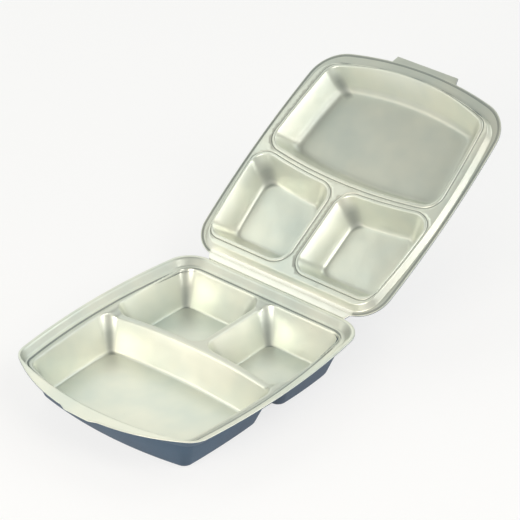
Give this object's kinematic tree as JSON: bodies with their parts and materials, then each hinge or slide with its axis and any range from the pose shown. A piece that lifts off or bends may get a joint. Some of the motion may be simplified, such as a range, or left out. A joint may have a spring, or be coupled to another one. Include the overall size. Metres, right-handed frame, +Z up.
{
  "type": "hinged lunch box",
  "caption": "Hinged foam meal box standing open: a compartmented base tray with a ledge and a flared lip, and a shallower lid tray with a thumb tab.",
  "frame": {"origin": "on the underside, at the middle of the large compartment's floor", "axes": "+X along the hinge, +Y from the front lip towards the hinge, +Z up as it stands"},
  "size_m": [0.2122, 0.452, 0.167],
  "materials": {
    "base_foam": "pressed foam, satin",
    "lid_foam": "pressed foam, satin"
  },
  "bodies": {
    "base": {"base_tray": "base_foam"},
    "lid": {"lid_tray": "lid_foam"}
  },
  "joints": [
    {"name": "lid_hinge", "type": "hinge", "parent": "base", "child": "lid", "pos_m": [0, 0.16101, 0.0392], "axis": [1, 0, 0], "range_deg": [-31.65, 148.35]}
  ]
}
